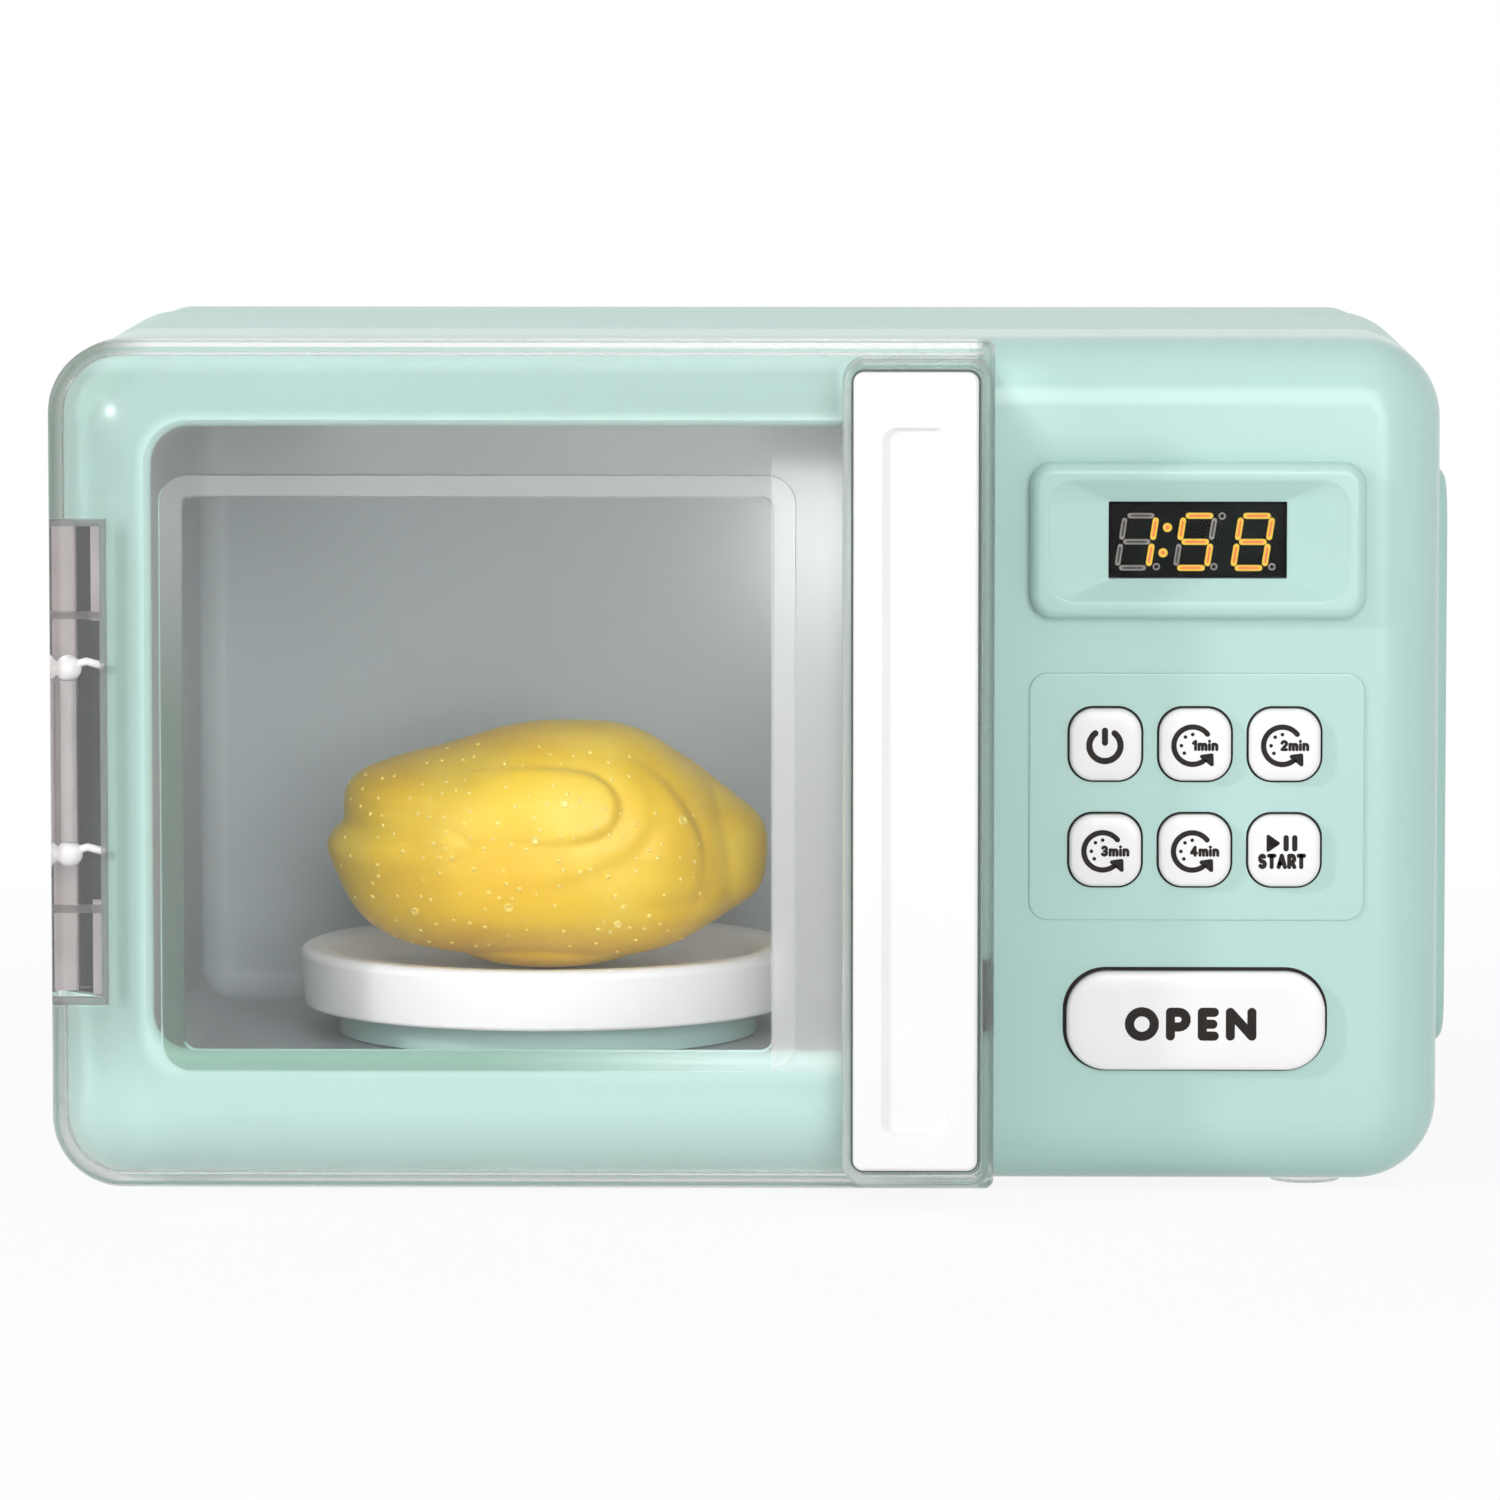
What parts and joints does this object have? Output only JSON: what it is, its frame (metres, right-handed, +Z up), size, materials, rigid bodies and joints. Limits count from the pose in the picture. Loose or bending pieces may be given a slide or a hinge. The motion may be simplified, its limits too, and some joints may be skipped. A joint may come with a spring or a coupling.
{
  "type": "toy microwave oven",
  "caption": "Play microwave oven with a hinged clear door, a powered turntable with a toy bird on it, push buttons, a plain number display and a battery bay.",
  "frame": {"origin": "bottom centre of the whole oven's box, on the surface the feet stand on", "axes": "+Z up, the door and the controls face -Y, +X is to the right of someone facing the door"},
  "size_m": [0.302, 0.185, 0.1799],
  "materials": {
    "mint_plastic": "satin mint moulding",
    "white_plastic": "glossy white moulding",
    "clear_plastic": "clear polished",
    "smoked_plastic": "smoked polished",
    "grey_plastic": "satin grey moulding",
    "dark_plastic": "matt dark moulding",
    "display_black": "black",
    "grey_rubber": "matt",
    "circuit_board": "green laminate",
    "zinc_steel": "zinc plated",
    "brass": "machined",
    "battery_wrap": "dark plain wrap",
    "lamp_lens": "warm clear",
    "red_wire": "insulated lead",
    "yellow_vinyl": "soft satin vinyl"
  },
  "bodies": {
    "oven": {"battery_1": "battery_wrap", "battery_2": "battery_wrap", "battery_3": "battery_wrap", "battery_box": "dark_plastic", "battery_wire": "red_wire", "board_screw_1": "zinc_steel", "board_screw_2": "zinc_steel", "board_screw_3": "zinc_steel", "board_screw_4": "zinc_steel", "button_mat": "grey_rubber", "cavity_lamp": "lamp_lens", "cavity_liner": "grey_plastic", "contact_left": "zinc_steel", "contact_right": "zinc_steel", "control_board": "circuit_board", "display_module": "display_black", "display_window": "smoked_plastic", "foot_front_left": "grey_rubber", "foot_front_right": "grey_rubber", "foot_rear_left": "grey_rubber", "foot_rear_right": "grey_rubber", "front_shell": "mint_plastic", "gear_motor": "dark_plastic", "hinge_bracket": "dark_plastic", "housing": "mint_plastic", "motor_wire": "red_wire", "rear_cover": "mint_plastic", "rear_screw_1": "zinc_steel", "rear_screw_2": "zinc_steel", "rear_screw_3": "zinc_steel", "rear_screw_4": "zinc_steel", "speaker": "dark_plastic", "speaker_wire": "red_wire", "turntable_base": "mint_plastic"},
    "door": {"door_panel": "clear_plastic", "door_handle": "white_plastic"},
    "turntable": {"turntable_plate": "white_plastic", "turntable_spindle": "white_plastic", "drive_gear": "white_plastic"},
    "pinion": {"motor_pinion": "brass"},
    "food": {"play_food": "yellow_vinyl"},
    "open_key": {"open_button": "white_plastic"},
    "latch": {"latch_slide": "white_plastic"},
    "hatch": {"battery_cover": "mint_plastic", "battery_cover_screw": "zinc_steel"},
    "key_power": {"button_power": "white_plastic"},
    "key_1_minute": {"button_1_minute": "white_plastic"},
    "key_2_minutes": {"button_2_minutes": "white_plastic"},
    "key_3_minutes": {"button_3_minutes": "white_plastic"},
    "key_4_minutes": {"button_4_minutes": "white_plastic"},
    "key_start": {"button_start": "white_plastic"}
  },
  "joints": [
    {"name": "door_hinge", "type": "hinge", "parent": "oven", "child": "door", "pos_m": [-0.1415, -0.074, 0.0917], "axis": [0, 0, -1], "range_deg": [0, 110]},
    {"name": "turntable_spin", "type": "hinge", "parent": "oven", "child": "turntable", "pos_m": [-0.044, -0.0105, 0.0382], "axis": [0, 0, 1], "continuous": true},
    {"name": "pinion_spin", "type": "hinge", "parent": "oven", "child": "pinion", "pos_m": [-0.02, -0.0105, 0.0175], "axis": [0, 0, 1], "continuous": true},
    {"name": "food_lift", "type": "slide", "parent": "turntable", "child": "food", "axis": [0, 0, 1], "range_m": [0, 0.03]},
    {"name": "open_press", "type": "slide", "parent": "oven", "child": "open_key", "axis": [0, 1, 0], "range_m": [0, 0.0025], "stiffness_N_per_m": 300},
    {"name": "latch_release", "type": "slide", "parent": "oven", "child": "latch", "axis": [1, 0, 0], "range_m": [0, 0.0025], "stiffness_N_per_m": 150},
    {"name": "hatch_lift", "type": "slide", "parent": "oven", "child": "hatch", "axis": [0, 1, 0], "range_m": [0, 0.02]},
    {"name": "press_power", "type": "slide", "parent": "oven", "child": "key_power", "axis": [0, 1, 0], "range_m": [0, 0.0015], "stiffness_N_per_m": 300},
    {"name": "press_1_minute", "type": "slide", "parent": "oven", "child": "key_1_minute", "axis": [0, 1, 0], "range_m": [0, 0.0015], "stiffness_N_per_m": 300},
    {"name": "press_2_minutes", "type": "slide", "parent": "oven", "child": "key_2_minutes", "axis": [0, 1, 0], "range_m": [0, 0.0015], "stiffness_N_per_m": 300},
    {"name": "press_3_minutes", "type": "slide", "parent": "oven", "child": "key_3_minutes", "axis": [0, 1, 0], "range_m": [0, 0.0015], "stiffness_N_per_m": 300},
    {"name": "press_4_minutes", "type": "slide", "parent": "oven", "child": "key_4_minutes", "axis": [0, 1, 0], "range_m": [0, 0.0015], "stiffness_N_per_m": 300},
    {"name": "press_start", "type": "slide", "parent": "oven", "child": "key_start", "axis": [0, 1, 0], "range_m": [0, 0.0015], "stiffness_N_per_m": 300}
  ],
  "couplings": [
    {"joint": "pinion_spin", "follows": "turntable_spin", "ratio": -3},
    {"joint": "latch_release", "follows": "open_press", "ratio": 1}
  ]
}
